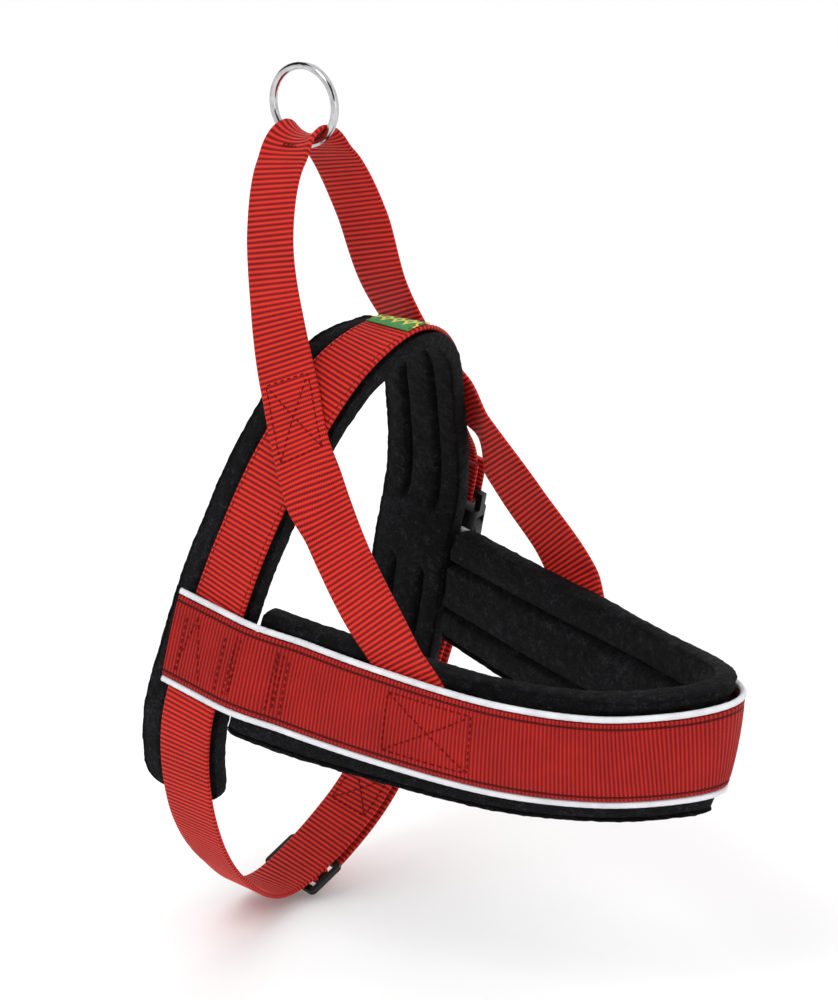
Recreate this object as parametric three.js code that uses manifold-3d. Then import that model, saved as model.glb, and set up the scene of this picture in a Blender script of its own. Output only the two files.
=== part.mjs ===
// A padded dog harness of the Norwegian kind: a wide chest band, a strap over
// the back that becomes the girth strap, and a lead loop with a ring on top.
// Millimetres. +X points at the dog's head, +Z up, -Y is the dog's right side.
// The origin is on the underside of the back pad, over the dog's spine.

import * as THREE from 'three';
import { mergeVertices } from 'three/addons/utils/BufferGeometryUtils.js';
import Module from 'manifold-3d';

const wasm = await Module();
wasm.setup();

// ---- driving dimensions ----

const GAP = 0.3;                 // left between pieces that touch
const WEB_WIDTH = 25;            // nylon webbing
const WEB_THICKNESS = 2;
const SEWN_LAYER = WEB_THICKNESS + 2 * GAP; // from one strap to the next it is sewn to
const BAND_WIDTH = 35;           // wide webbing of the chest band
const PIPING_WIDTH = 2.6;        // reflective cord along each edge of the band
const BACK_PAD_WIDTH = 41;
const BACK_PAD_THICKNESS = 8;
const CHEST_PAD_WIDTH = 58;
const CHEST_PAD_DROP = 2;        // its middle, below the middle of the band
const CHEST_PAD_THICKNESS = 9;
const FLEECE_THICKNESS = 1.4;    // the pad's cover, round a foam core
const FOAM_GAP = 1.2;            // the core lies loose in the cover
const FOAM_CORNER = 1.2;         // radius along its long edges
const RING_OUTER = 35;
const RING_WIRE = 3.4;
const LABEL_LENGTH = 15;
const LABEL_THICKNESS = 0.6;
const BUCKLE_WIDTH = 33;
const BUCKLE_THICKNESS = 10;
const BUCKLE_OFFSET = 9.8;       // the buckle's middle plane, outside the back strap
const ADJUSTER_LENGTH = 19;
const ADJUSTER_WIDTH = 31;
const ADJUSTER_THICKNESS = 2.6;

// Height of the back strap's middle surface over the origin. The middle facet of
// the pad's curved underside lies a little under the curve, and holds the origin.
const FACET_SAG = 0.203;
const BACK_STRAP_HEIGHT = BACK_PAD_THICKNESS + GAP + WEB_THICKNESS / 2 + FACET_SAG;

// ---- routes: where the middle surface of each strap runs ----

// Each station is [x, y, z, lean]: a point on the right-hand side, and how many
// degrees the strap is turned about its own length. The left side mirrors it.
const GIRTH_LOOP = [
  [-69, 0, -250, -4],
  [-60, -42, -226, -8],
  [-54, -67, -192.5, -1],
  [-49, -76.4, -152.5, 1],
  [-39.5, -72.4, -112.5, 1],
  [-27.5, -66.5, -73.5, 1],
  [-17.5, -52, -37, 5],
  [-6, -30, -3.5, 5],
  [0, 0, BACK_STRAP_HEIGHT, -0.82],
];

const CHEST_BAND = [
  [-56, -76.6, -112, -11],
  [-3.5, -69.7, -122.7, -5],
  [45, -61.7, -130, 1],
  [88, -51.3, -135, 6],
  [124, -36, -136.4, 10],
  [150.5, -18.2, -134, 10],
  [161, 0, -132.4, 8],
];

const LEAD_LOOP = [
  [63, -55.6, -132, 10],
  [44.5, -61, -101.5, 7],
  [20, -58, -72, 6],
  [-2, -51.6, -42, 11],
  [-19.7, -42.8, -13.5, 11],
  [-33.3, -34.5, 14.3, 2],
  [-41, -29, 44.6, -6],
  [-46, -17, 70, -5],
  [-46.8, 0, 80, 0],
];

const APEX = 8;                  // station number on the middle plane, at the top
const CHEST_FRONT = 6;           // station number on the middle plane, at the front

function mirrored(stations) {
  const left = stations.slice(0, -1).reverse();
  return [...stations, ...left.map(([x, y, z, lean]) => [x, -y, z, lean])];
}

// A strap's route: a smooth line, and at each station the direction across the
// strap and the direction out of the dog's body.
class StrapRoute {
  constructor(stations, acrossReference, closed = false) {
    const all = mirrored(stations);
    if (closed) all.pop();       // the last station is the first one again
    this.count = closed ? all.length : all.length - 1;
    this.closed = closed;
    const curveOf = (points) => new THREE.CatmullRomCurve3(points, closed, 'catmullrom', 0.5);
    this.centre = curveOf(all.map(([x, y, z]) => new THREE.Vector3(x, y, z)));
    this.lean = curveOf(all.map(([, , , lean]) => new THREE.Vector3(lean, 0, 0)));
    this.acrossReference = acrossReference;
  }

  parameter(station) {
    const t = station / this.count;
    return this.closed ? t - Math.floor(t) : THREE.MathUtils.clamp(t, 0, 1);
  }

  frameAt(station) {
    const t = this.parameter(station);
    const point = this.centre.getPoint(t);
    const along = this.centre.getTangent(t).normalize();
    const across = this.acrossReference.clone().addScaledVector(along, -along.dot(this.acrossReference));
    across.normalize();
    across.applyAxisAngle(along, THREE.MathUtils.degToRad(this.lean.getPoint(t).x));
    const out = new THREE.Vector3().crossVectors(along, across);
    return { point, along, across, out };
  }
}

const girthRoute = new StrapRoute(GIRTH_LOOP, new THREE.Vector3(-1, 0, 0), true);
const chestRoute = new StrapRoute(CHEST_BAND, new THREE.Vector3(0, 0, 1));
const leadRoute = new StrapRoute(LEAD_LOOP, new THREE.Vector3(-1, 0, 0));

// ---- sections ----

const FLAT_PIECE = 20;           // a wide face is split, so that it can twist smoothly

function flatTo(outline, x, y) {
  const start = outline.currentPoint.clone();
  const pieces = Math.ceil(Math.abs(x - start.x) / FLAT_PIECE);
  for (let i = 1; i <= pieces; i += 1) {
    const share = i / pieces;
    outline.lineTo(THREE.MathUtils.lerp(start.x, x, share), THREE.MathUtils.lerp(start.y, y, share));
  }
}

// A rectangle with rounded corners, centred on (x, y).
function section(width, thickness, corner = 0, x = 0, y = 0) {
  const outline = new THREE.Shape();
  const right = x + width / 2;
  const left = x - width / 2;
  const top = y + thickness / 2;
  const bottom = y - thickness / 2;
  outline.moveTo(left + corner, bottom);
  flatTo(outline, right - corner, bottom);
  if (corner > 0) outline.absarc(right - corner, bottom + corner, corner, -Math.PI / 2, 0);
  outline.lineTo(right, top - corner);
  if (corner > 0) outline.absarc(right - corner, top - corner, corner, 0, Math.PI / 2);
  flatTo(outline, left + corner, top);
  if (corner > 0) outline.absarc(left + corner, top - corner, corner, Math.PI / 2, Math.PI);
  outline.lineTo(left, bottom + corner);
  if (corner > 0) outline.absarc(left + corner, bottom + corner, corner, Math.PI, Math.PI * 1.5);
  return outline;
}

// ---- sweeping a section along a route ----

// offset(station) shifts the section outwards; camber(station) is the curvature
// that cups the strap across its width, in 1/mm; lay(point, height) moves a point
// that lies at the given height in the strap's thickness onto a neighbour.
function sweep(route, outline, span) {
  const { from, to, steps, offset = () => 0, camber = () => 0, lay = (point) => point } = span;
  const geometry = new THREE.ExtrudeGeometry(outline, {
    depth: 1,
    steps,
    bevelEnabled: false,
    curveSegments: 1,
  });
  const position = geometry.attributes.position;
  for (let i = 0; i < position.count; i += 1) {
    const station = THREE.MathUtils.lerp(from, to, position.getZ(i));
    const { point, across, out } = route.frameAt(station);
    const curvature = camber(station);
    let sideways = position.getX(i);
    let outwards = position.getY(i) + offset(station);
    if (curvature > 1e-6) {
      const radius = 1 / curvature - position.getY(i);
      const angle = sideways * curvature;
      sideways = radius * Math.sin(angle);
      outwards += (1 / curvature) * (1 - Math.cos(angle)) - position.getY(i) * (1 - Math.cos(angle));
    }
    point.addScaledVector(across, sideways).addScaledVector(out, outwards);
    lay(point, position.getY(i));
    position.setXYZ(i, point.x, point.y, point.z);
  }
  return geometry;
}

// Where a point lies against a strap: the nearest station between two, how far
// across it is and how far out.
function placeOn(route, first, last, point) {
  const fineStep = 0.02;
  let best = { away: Infinity };
  for (let station = first; station <= last; station += fineStep) {
    const frame = route.frameAt(station);
    const delta = point.clone().sub(frame.point);
    const away = Math.abs(delta.dot(frame.along));
    if (away < best.away) {
      best = { away, station, frame, sideways: delta.dot(frame.across), outwards: delta.dot(frame.out) };
    }
  }
  return best;
}

// Lays one strap flat on another, at a level over it, or under it if negative.
// Past the other strap's edge it eases back to its own line within a margin. A
// strap that only rests on the other may also stand further out. rise(station)
// is how far the other strap itself stands off its route.
function layOn(route, first, last, halfWidth, options = {}) {
  const { level = SEWN_LAYER, margin = 14, rests = false, rise = () => 0 } = options;
  return (point, height) => {
    const place = placeOn(route, first, last, point);
    const past = Math.abs(place.sideways) - halfWidth;
    const share = 1 - THREE.MathUtils.smoothstep(past, 0, margin);
    const needed = level + rise(place.station) + height - place.outwards;
    const shift = rests ? Math.max(0, needed) : needed;
    return point.addScaledVector(place.frame.out, shift * share);
  };
}

function webbing(route, span, width = WEB_WIDTH) {
  return sweep(route, section(width, WEB_THICKNESS), span);
}

// ---- solids: adding and cutting ----

function toSolid(geometry) {
  const bare = geometry.clone();
  bare.deleteAttribute('normal');
  bare.deleteAttribute('uv');
  const merged = mergeVertices(bare, 1e-4);
  return new wasm.Manifold(new wasm.Mesh({
    numProp: 3,
    vertProperties: Float32Array.from(merged.attributes.position.array),
    triVerts: Uint32Array.from(merged.index.array),
  }));
}

function toGeometry(solid) {
  const mesh = solid.getMesh();
  const geometry = new THREE.BufferGeometry();
  geometry.setAttribute('position', new THREE.BufferAttribute(mesh.vertProperties, 3));
  geometry.setIndex(new THREE.BufferAttribute(mesh.triVerts, 1));
  geometry.computeVertexNormals();
  return geometry;
}

function join(...geometries) {
  return toGeometry(geometries.map(toSolid).reduce((all, next) => all.add(next)));
}

function cut(geometry, ...tools) {
  return toGeometry(tools.map(toSolid).reduce((rest, tool) => rest.subtract(tool), toSolid(geometry)));
}

// A box given by its lowest and highest corners.
function block(low, high) {
  const size = high.map((value, i) => value - low[i]);
  const middle = high.map((value, i) => (value + low[i]) / 2);
  return new THREE.BoxGeometry(...size).translate(...middle);
}

// A plate drawn flat: the outline lies in x and z, its thickness along y.
function plate(outline, lowY, highY) {
  const geometry = new THREE.ExtrudeGeometry(outline, {
    depth: highY - lowY,
    bevelEnabled: false,
    curveSegments: 4,
  });
  return geometry.rotateX(Math.PI / 2).translate(0, highY, 0);
}

// ---- materials ----

function material(color, roughness, metalness = 0) {
  return () => new THREE.MeshStandardMaterial({ color, roughness, metalness });
}

const redWebbing = material(0xc01c1c, 0.75);
const blackFleece = material(0x1c1c1f, 0.95);
const greyFoam = material(0x55565a, 0.9);
const whitePiping = material(0xe8e9ec, 0.45);
const chrome = material(0xd8dadd, 0.15, 1);
const blackPlastic = material(0x141415, 0.4);
const wovenLabel = material(0x2f6b3a, 0.8);

const harness = new THREE.Group();

function add(name, geometry, makeMaterial, parent = harness) {
  const mesh = new THREE.Mesh(geometry, makeMaterial());
  mesh.name = name;
  parent.add(mesh);
  return mesh;
}

// ---- pads: a fleece cover round a foam core ----

function pad(name, route, width, thickness, span, middle = 0, trim = (geometry) => geometry) {
  const corner = thickness * 0.42;
  const cover = section(width, thickness, corner, middle);
  const inset = 2 * FLEECE_THICKNESS;
  cover.holes.push(section(width - inset, thickness - inset, corner - FLEECE_THICKNESS, middle));
  add(`${name}_cover`, trim(sweep(route, cover, span)), blackFleece);
  const coreInset = inset + 2 * FOAM_GAP;
  const core = section(width - coreInset, thickness - coreInset, FOAM_CORNER, middle);
  add(`${name}_foam`, trim(sweep(route, core, span)), greyFoam);
}

const BACK_PAD_SPAN = { from: 2.15, to: 13.85, steps: 43 };
const backPadOffset = -(WEB_THICKNESS / 2 + GAP + BACK_PAD_THICKNESS / 2);
pad('back_pad', girthRoute, BACK_PAD_WIDTH, BACK_PAD_THICKNESS, {
  ...BACK_PAD_SPAN,
  offset: () => backPadOffset,
});

// The chest pad lies against the band at its ends, and further on inside the
// webbing layers that are sewn between it and the band.
const CHEST_PAD_START = 0.45;
const chestPadTouching = -(WEB_THICKNESS / 2 + 2 * GAP + CHEST_PAD_THICKNESS / 2);

function chestPadOffset(station) {
  const fromEnd = Math.min(station, 2 * CHEST_FRONT - station);
  return chestPadTouching - SEWN_LAYER * THREE.MathUtils.smoothstep(fromEnd, 0.8, 2);
}

// Its ends are cut to butt against the front edges of the back pad.
function buttAgainstBackPad(geometry) {
  const outline = section(BACK_PAD_WIDTH + 2 * GAP, 60);
  const sides = [[2.8, 5.2], [10.8, 13.2]].map(([from, to]) => (
    sweep(girthRoute, outline, { from, to, steps: 9 })
  ));
  return cut(geometry, ...sides);
}

pad('chest_pad', chestRoute, CHEST_PAD_WIDTH, CHEST_PAD_THICKNESS, {
  from: CHEST_PAD_START,
  to: 2 * CHEST_FRONT - CHEST_PAD_START,
  steps: 42,
  offset: chestPadOffset,
}, -CHEST_PAD_DROP, buttAgainstBackPad);

// ---- chest band ----

// At both ends the band lies over the back strap.
const overRight = layOn(girthRoute, 2.8, 5.2, WEB_WIDTH / 2, { margin: 30 });
const overLeft = layOn(girthRoute, 10.8, 13.2, WEB_WIDTH / 2, { margin: 30 });
const bandSpan = {
  from: 0,
  to: 2 * CHEST_FRONT,
  steps: 50,
  lay: (point, height) => (point.y < 0 ? overRight(point, height) : overLeft(point, height)),
};

add('chest_webbing', webbing(chestRoute, bandSpan, BAND_WIDTH), redWebbing);

const pipingCentre = BAND_WIDTH / 2 + GAP + PIPING_WIDTH / 2;
for (const [name, side] of [['chest_piping_upper', 1], ['chest_piping_lower', -1]]) {
  const outline = section(PIPING_WIDTH, PIPING_WIDTH, PIPING_WIDTH * 0.35, side * pipingCentre, 0);
  add(name, sweep(chestRoute, outline, bandSpan), whitePiping);
}

// ---- back strap: from under the band's right end, over the back, to the buckle ----

const SEWN_JOIN = 3.75;          // the back strap and the girth strap meet under the band
const BACK_STRAP_END = 10.8;
const BAR = 3;                   // the bars that webbing is folded round are square
const FOLD_OFFSET = BAR / 2 + GAP + WEB_THICKNESS / 2;
const FOLD_LENGTH = 15;

// Towards the buckle the strap leaves the pad and comes out to the buckle's bar.
function riseToBuckle(station) {
  return (BUCKLE_OFFSET - FOLD_OFFSET) * THREE.MathUtils.smoothstep(station, 10.1, BACK_STRAP_END);
}

add('back_webbing', webbing(girthRoute, {
  from: SEWN_JOIN,
  to: BACK_STRAP_END,
  steps: 40,
  offset: riseToBuckle,
}), redWebbing);

const labelHalf = LABEL_LENGTH / 78;
add('woven_label', sweep(girthRoute, section(WEB_WIDTH - 2, LABEL_THICKNESS), {
  from: APEX - labelHalf,
  to: APEX + labelHalf,
  steps: 5,
  offset: () => WEB_THICKNESS / 2 + GAP + LABEL_THICKNESS / 2,
}), wovenLabel);

// ---- lead loop: sewn under the band, crossed over the back strap, up to the ring ----

const CROSSING_END = 4.3;        // the sewn crossing ends here
const LOOP_START = 5.2;          // above here the loop swings as one piece
const SPLIT = 0.02;

// Round the ring the webbing cups itself to the wire.
const cupRadius = RING_OUTER / 2 - RING_WIRE - GAP - WEB_THICKNESS / 2;

function cupAtRing(station) {
  const away = Math.min(1, Math.abs(station - APEX) / 0.9);
  return (1 - away * away) ** 2 / cupRadius;
}

const rightCrossing = layOn(girthRoute, 5, 7.6, WEB_WIDTH / 2, { rests: true });
const leftCrossing = layOn(girthRoute, 8.4, 11, WEB_WIDTH / 2, {
  level: SEWN_LAYER + 2 * GAP,
  rests: true,
  rise: riseToBuckle,
});
const BAND_EDGE = BAND_WIDTH / 2 + GAP + PIPING_WIDTH;
const underBand = { level: -SEWN_LAYER - GAP / 2 };
const rightSeam = layOn(chestRoute, 1, 4, BAND_EDGE, underBand);
const leftSeam = layOn(chestRoute, 8, 11, BAND_EDGE, underBand);
const SEAM_HEIGHT = -85;         // below this the strap follows the chest band

function layLeadStrap(point, height) {
  const onRight = point.y < 0;
  const seam = onRight ? rightSeam : leftSeam;
  const crossing = onRight ? rightCrossing : leftCrossing;
  return point.z < SEAM_HEIGHT ? seam(point, height) : crossing(point, height);
}

for (const [side, at] of [['right', (s) => s], ['left', (s) => 2 * APEX - s]]) {
  const span = (first, last, steps) => {
    const ends = [at(first), at(last)].sort((a, b) => a - b);
    return { from: ends[0], to: ends[1], steps, lay: layLeadStrap };
  };
  add(`lead_strap_${side}`, webbing(leadRoute, span(0.25, CROSSING_END, 30)), redWebbing);
  const root = span(CROSSING_END + SPLIT, LOOP_START - SPLIT, 7);
  add(`lead_loop_root_${side}`, webbing(leadRoute, root), redWebbing);
}

add('lead_loop', webbing(leadRoute, {
  from: LOOP_START,
  to: 2 * APEX - LOOP_START,
  steps: 42,
  camber: cupAtRing,
}), redWebbing);

// The ring hangs on the loop's fold, its plane holding the strap's width.
const ringRadius = (RING_OUTER - RING_WIRE) / 2;
const foldStation = LEAD_LOOP[APEX];
const ringBottom = foldStation[2] - WEB_THICKNESS / 2 - GAP - RING_WIRE / 2;
const ringGeometry = new THREE.TorusGeometry(ringRadius, RING_WIRE / 2, 8, 32);
const leadRing = add('lead_ring', ringGeometry.rotateX(Math.PI / 2), chrome);
leadRing.position.set(foldStation[0], 0, ringBottom + ringRadius);

// ---- side-release buckle, on the left side over the end of the chest band ----

// In the buckle's own space x runs across, y out of the body and z down the
// strap, with z = 0 where the two halves meet.
const BUCKLE_STATION = 11.9;
const SOCKET_LENGTH = 22;
const SHELL_WALL = 1.6;
const CAVITY_WIDTH = BUCKLE_WIDTH - 2 * SHELL_WALL;
const CAVITY_THICKNESS = BUCKLE_THICKNESS - 2 * SHELL_WALL;
const STRAP_SLOT = 4.8;
const PRONG_THICKNESS = 4.6;
const PRONG_LENGTH = 18;
const PRONG_PIVOT = 10.4;        // the prong's root, to each side of the middle
const MALE_BASE = 7.5;
const MALE_END = MALE_BASE + STRAP_SLOT + BAR;

// A group whose x, y and z run across, out and along a strap at a station.
function groupOnStrap(route, station, offset) {
  const { point, across, out, along } = route.frameAt(station);
  const group = new THREE.Group();
  group.quaternion.setFromRotationMatrix(new THREE.Matrix4().makeBasis(across, out, along));
  group.position.copy(point).addScaledVector(out, offset);
  harness.add(group);
  return group;
}

const buckle = groupOnStrap(girthRoute, BUCKLE_STATION, BUCKLE_OFFSET);

function slot(nearZ, farZ, thickness) {
  const half = WEB_WIDTH / 2 + 1;
  return block([-half, -thickness, nearZ], [half, thickness, farZ]);
}

// Everything of the half buckle beyond the body is a frame as thick as its bar.
function thinFrame(lowZ, highZ) {
  const half = BUCKLE_WIDTH / 2 + 1;
  return [
    block([-half, BAR / 2, lowZ], [half, BUCKLE_THICKNESS, highZ]),
    block([-half, -BUCKLE_THICKNESS, lowZ], [half, -BAR / 2, highZ]),
  ];
}

function buckleBlank(lowZ, highZ) {
  return new THREE.ExtrudeGeometry(section(BUCKLE_WIDTH, BUCKLE_THICKNESS, 3), {
    depth: highZ - lowZ,
    bevelEnabled: false,
    curveSegments: 3,
  }).translate(0, 0, lowZ);
}

function femaleHalf() {
  const top = -SOCKET_LENGTH - STRAP_SLOT - BAR;
  const half = BUCKLE_WIDTH / 2 + 1;
  const window = PRONG_THICKNESS / 2 + GAP;
  const cavity = block(
    [-CAVITY_WIDTH / 2, -CAVITY_THICKNESS / 2, -SOCKET_LENGTH + SHELL_WALL],
    [CAVITY_WIDTH / 2, CAVITY_THICKNESS / 2, 1],
  );
  const windows = block([-half, -window, -PRONG_LENGTH - 0.8], [half, window, 1]);
  const strapSlot = slot(-SOCKET_LENGTH - STRAP_SLOT, -SOCKET_LENGTH, BUCKLE_THICKNESS);
  return cut(buckleBlank(top, 0), cavity, windows, ...thinFrame(top - 1, -SOCKET_LENGTH), strapSlot);
}

function maleHalf() {
  const guide = block([-2.6, -2, -12], [2.6, 2, 1]);
  const prongSeats = [-1, 1].map((side) => block(
    [side * PRONG_PIVOT - 3.4, -PRONG_THICKNESS / 2 - GAP, -1],
    [side * PRONG_PIVOT + 3.4, PRONG_THICKNESS / 2 + GAP, 3.2],
  ));
  const strapSlot = slot(MALE_BASE, MALE_BASE + STRAP_SLOT, BUCKLE_THICKNESS);
  const body = join(buckleBlank(GAP, MALE_END), guide);
  return cut(body, ...prongSeats, ...thinFrame(MALE_BASE, MALE_END + 1), strapSlot);
}

// One springy prong: a straight arm from its root, and a head that fills the
// window in the female half's side.
function prong(side) {
  const armHalf = 1.6;
  const rootEnd = 1.6;
  const inner = side * (PRONG_PIVOT - armHalf);
  const outer = side * (PRONG_PIVOT + armHalf);
  const head = side * (BUCKLE_WIDTH / 2 + 0.4);
  const outline = new THREE.Shape();
  outline.moveTo(inner, rootEnd);
  outline.lineTo(outer, rootEnd);
  outline.lineTo(outer, -7);
  outline.lineTo(head, -7.8);
  outline.lineTo(head, -12);
  outline.quadraticCurveTo(head - side * 0.6, -PRONG_LENGTH + 1.5, outer + side, -PRONG_LENGTH);
  outline.lineTo(inner, -PRONG_LENGTH);
  return plate(outline, -PRONG_THICKNESS / 2, PRONG_THICKNESS / 2);
}

add('buckle_female', femaleHalf(), blackPlastic, buckle);
add('buckle_male', maleHalf(), blackPlastic, buckle);
add('buckle_prong_front', prong(-1), blackPlastic, buckle);
add('buckle_prong_rear', prong(1), blackPlastic, buckle);

// A fold of webbing round a bar whose middle is at barZ. The fold faces +z or
// -z, as facing says, and its two layers run the other way for their length.
function strapFold(barZ, facing, length) {
  const inner = BAR / 2 + GAP;
  const outer = inner + WEB_THICKNESS;
  const turn = BAR / 3;          // the fold turns past the bar's middle, clear of its corners
  const outline = new THREE.Shape();
  outline.moveTo(-length, -outer);
  outline.lineTo(turn, -outer);
  outline.absarc(turn, 0, outer, -Math.PI / 2, Math.PI / 2);
  outline.lineTo(-length, outer);
  outline.lineTo(-length, inner);
  outline.lineTo(turn, inner);
  outline.absarc(turn, 0, inner, Math.PI / 2, -Math.PI / 2, true);
  outline.lineTo(-length, -inner);
  const geometry = new THREE.ExtrudeGeometry(outline, {
    depth: WEB_WIDTH,
    bevelEnabled: false,
    curveSegments: 6,
  });
  geometry.translate(0, 0, -WEB_WIDTH / 2);
  geometry.rotateY(-facing * Math.PI / 2);
  return geometry.translate(0, 0, barZ);
}

const FEMALE_BAR = -SOCKET_LENGTH - STRAP_SLOT - BAR / 2;
const MALE_BAR = MALE_END - BAR / 2;
add('back_strap_fold', strapFold(FEMALE_BAR, 1, FOLD_LENGTH), redWebbing, buckle);
add('girth_strap_fold', strapFold(MALE_BAR, -1, FOLD_LENGTH), redWebbing, buckle);

// ---- girth strap: from under the band's right end, under the chest, and up to
// the buckle in two layers, with the adjuster at the bottom ----

const GIRTH_END = 12.66;         // where the two layers reach the fold at the buckle
const ADJUSTER_STATION = 15.6;
const ADJUSTER_OFFSET = WEB_THICKNESS / 2 + GAP + ADJUSTER_THICKNESS / 2;
const RETURN_REST = ADJUSTER_OFFSET + ADJUSTER_THICKNESS / 2 + 4 * GAP + WEB_THICKNESS / 2;

// Share of the way out to the buckle: 0 at the pad's end, 1 at the fold.
function outToBuckle(station) {
  const wrapped = station < 8 ? station + 16 : station;
  return wrapped > 20 ? 0 : 1 - THREE.MathUtils.smoothstep(wrapped, GIRTH_END, 13.9);
}

add('girth_webbing', webbing(girthRoute, {
  from: GIRTH_END,
  to: 16 + SEWN_JOIN - SPLIT,
  steps: 46,
  offset: (station) => (BUCKLE_OFFSET - FOLD_OFFSET) * outToBuckle(station),
}), redWebbing);

add('girth_return_layer', webbing(girthRoute, {
  from: GIRTH_END,
  to: ADJUSTER_STATION - 0.16,
  steps: 22,
  offset: (station) => THREE.MathUtils.lerp(
    RETURN_REST,
    BUCKLE_OFFSET + FOLD_OFFSET,
    outToBuckle(station),
  ),
}), redWebbing);

const adjuster = groupOnStrap(girthRoute, ADJUSTER_STATION, ADJUSTER_OFFSET);

function adjusterFrame() {
  const half = ADJUSTER_THICKNESS / 2;
  const outline = section(ADJUSTER_WIDTH, ADJUSTER_LENGTH, 2.4);
  const frame = plate(outline, -half, half);
  const slotDepth = ADJUSTER_LENGTH / 2 - BAR;
  const slots = [-1, 1].map((end) => {
    const ends = [end * BAR / 2, end * slotDepth].sort((a, b) => a - b);
    return slot(ends[0], ends[1], ADJUSTER_THICKNESS);
  });
  return cut(frame, ...slots);
}

// The strap comes up through one slot, over the middle bar and down the other.
function humpOverBar() {
  const inner = BAR / 2 + GAP;
  const outer = inner + WEB_THICKNESS;
  const foot = -ADJUSTER_THICKNESS / 2;
  const turn = ADJUSTER_THICKNESS / 4;
  const outline = new THREE.Shape();
  outline.moveTo(outer, foot);
  outline.lineTo(outer, turn);
  outline.absarc(0, turn, outer, 0, Math.PI);
  outline.lineTo(-outer, foot);
  outline.lineTo(-inner, foot);
  outline.lineTo(-inner, turn);
  outline.absarc(0, turn, inner, Math.PI, 0, true);
  outline.lineTo(inner, foot);
  const geometry = new THREE.ExtrudeGeometry(outline, {
    depth: WEB_WIDTH,
    bevelEnabled: false,
    curveSegments: 8,
  });
  return geometry.translate(0, 0, -WEB_WIDTH / 2).rotateY(Math.PI / 2);
}

add('adjuster_frame', adjusterFrame(), blackPlastic, adjuster);
add('adjuster_webbing', humpOverBar(), redWebbing, adjuster);

export default harness;
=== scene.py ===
"""A padded dog harness, dressed around its CAD frame.

Lengths are in millimetres until a mesh is made. +X points at the dog's head,
+Z up and -Y at the dog's right side, which faces the camera.
"""
import math

import bpy
import numpy as np
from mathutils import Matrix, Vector


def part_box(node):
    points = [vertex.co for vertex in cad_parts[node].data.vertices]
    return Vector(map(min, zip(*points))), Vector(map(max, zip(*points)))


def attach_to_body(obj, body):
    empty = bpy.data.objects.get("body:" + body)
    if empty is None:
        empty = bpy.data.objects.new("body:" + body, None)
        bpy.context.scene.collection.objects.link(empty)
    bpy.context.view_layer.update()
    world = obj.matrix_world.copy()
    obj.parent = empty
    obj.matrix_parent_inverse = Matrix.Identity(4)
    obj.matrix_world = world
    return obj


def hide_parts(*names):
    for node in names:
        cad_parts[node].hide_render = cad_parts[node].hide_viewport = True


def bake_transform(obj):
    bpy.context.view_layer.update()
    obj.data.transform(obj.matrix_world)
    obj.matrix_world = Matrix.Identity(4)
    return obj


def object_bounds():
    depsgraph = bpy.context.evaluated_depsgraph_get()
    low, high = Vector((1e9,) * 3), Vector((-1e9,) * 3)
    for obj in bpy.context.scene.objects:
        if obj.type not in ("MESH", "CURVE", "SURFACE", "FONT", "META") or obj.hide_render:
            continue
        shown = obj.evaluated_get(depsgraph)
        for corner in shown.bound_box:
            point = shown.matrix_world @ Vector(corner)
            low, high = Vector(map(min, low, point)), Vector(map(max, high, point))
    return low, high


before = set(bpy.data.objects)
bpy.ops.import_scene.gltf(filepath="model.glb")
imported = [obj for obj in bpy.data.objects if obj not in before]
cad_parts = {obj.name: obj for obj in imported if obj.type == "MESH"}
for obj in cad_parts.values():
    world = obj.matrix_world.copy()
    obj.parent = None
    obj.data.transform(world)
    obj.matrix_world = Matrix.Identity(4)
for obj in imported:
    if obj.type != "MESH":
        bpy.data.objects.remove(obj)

CAD_BOX = [list(corner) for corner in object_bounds()]

MM = 0.001

# ---- driving dimensions, the same as the CAD model's ----

GAP = 0.3
WEB_WIDTH = 25.0
WEB_THICKNESS = 2.0
SEWN_LAYER = WEB_THICKNESS + 2 * GAP
BAND_WIDTH = 35.0
PIPING_WIDTH = 2.6
BAND_EDGE = BAND_WIDTH / 2 + GAP + PIPING_WIDTH
BACK_PAD_WIDTH = 41.0
BACK_PAD_THICKNESS = 8.0
CHEST_PAD_WIDTH = 58.0
CHEST_PAD_DROP = 2.0            # its middle, below the middle of the band
CHEST_PAD_THICKNESS = 9.0
RING_OUTER = 35.0
RING_WIRE = 3.4
LABEL_LENGTH = 15.0
LABEL_THICKNESS = 0.6
APEX_PACE = 78                  # mm to a station of the girth loop, at its top
BUCKLE_OFFSET = 9.8
BUCKLE_STATION = 11.9
BAR = 3.0
FOLD_LENGTH = 15.0
FOLD_OFFSET = BAR / 2 + GAP + WEB_THICKNESS / 2
FEMALE_BAR = -28.3
MALE_BAR = 13.8
ADJUSTER_STATION = 15.6
ADJUSTER_THICKNESS = 2.6
ADJUSTER_OFFSET = WEB_THICKNESS / 2 + GAP + ADJUSTER_THICKNESS / 2
RETURN_REST = ADJUSTER_OFFSET + ADJUSTER_THICKNESS / 2 + 4 * GAP + WEB_THICKNESS / 2
SEWN_JOIN = 3.75
BACK_STRAP_END = 10.8
GIRTH_END = 12.66
SEAM_HEIGHT = -85.0
FACET_SAG = 0.203               # how far the CAD pad's flat facets lie inside its curve
BACK_STRAP_HEIGHT = BACK_PAD_THICKNESS + GAP + WEB_THICKNESS / 2 + FACET_SAG

# ---- routes: where the middle surface of each strap runs ----

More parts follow.
